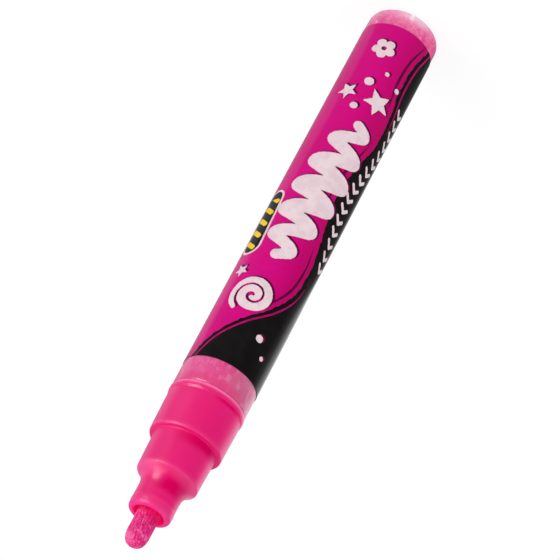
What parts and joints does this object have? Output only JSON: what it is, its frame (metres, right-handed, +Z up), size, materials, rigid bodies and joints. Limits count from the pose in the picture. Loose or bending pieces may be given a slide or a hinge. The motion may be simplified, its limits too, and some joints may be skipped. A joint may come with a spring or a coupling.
{
  "type": "liquid chalk marker",
  "caption": "Uncapped pump-action liquid chalk marker: straight round barrel with a wrap label, a stepped nozzle and a bullet fibre nib that is pressed in to feed the ink.",
  "frame": {"origin": "centre of the tail rim, where the marker stands", "axes": "+Z up the marker's axis to the nib, -Y towards the front of the label"},
  "size_m": [0.0154, 0.0154, 0.1313],
  "materials": {
    "barrel_plastic": "translucent moulded polypropylene, satin",
    "label_film": "printed film, semi-gloss",
    "nozzle_plastic": "moulded polypropylene, satin",
    "nib_fibre": "pressed polyester fibre soaked with ink",
    "valve_plastic": "natural moulded plastic",
    "seal_rubber": "soft rubber",
    "spring_steel": "drawn stainless wire",
    "ball_steel": "ground steel ball",
    "ink": "opaque water-based ink"
  },
  "bodies": {
    "barrel": {"barrel": "barrel_plastic", "label": "label_film", "nozzle": "nozzle_plastic", "valve_body": "valve_plastic", "valve_spring": "spring_steel", "spring_retainer": "valve_plastic", "ink_charge": "ink"},
    "valve": {"valve_stem": "valve_plastic", "valve_seal": "seal_rubber", "nib_holder": "valve_plastic"},
    "nib": {"nib": "nib_fibre"},
    "ball": {"mixing_ball": "ball_steel"}
  },
  "joints": [
    {"name": "nib_press", "type": "slide", "parent": "barrel", "child": "valve", "axis": [0, 0, 1], "range_m": [-0.0025, 0], "stiffness_N_per_m": 300, "springref_m": 0.0005, "deforming": ["valve_spring"]},
    {"name": "nib_pull", "type": "slide", "parent": "valve", "child": "nib", "axis": [0, 0, 1], "range_m": [0, 0.0156]},
    {"name": "ball_run", "type": "slide", "parent": "barrel", "child": "ball", "axis": [0, 0, 1], "range_m": [0, 0.0815]}
  ]
}
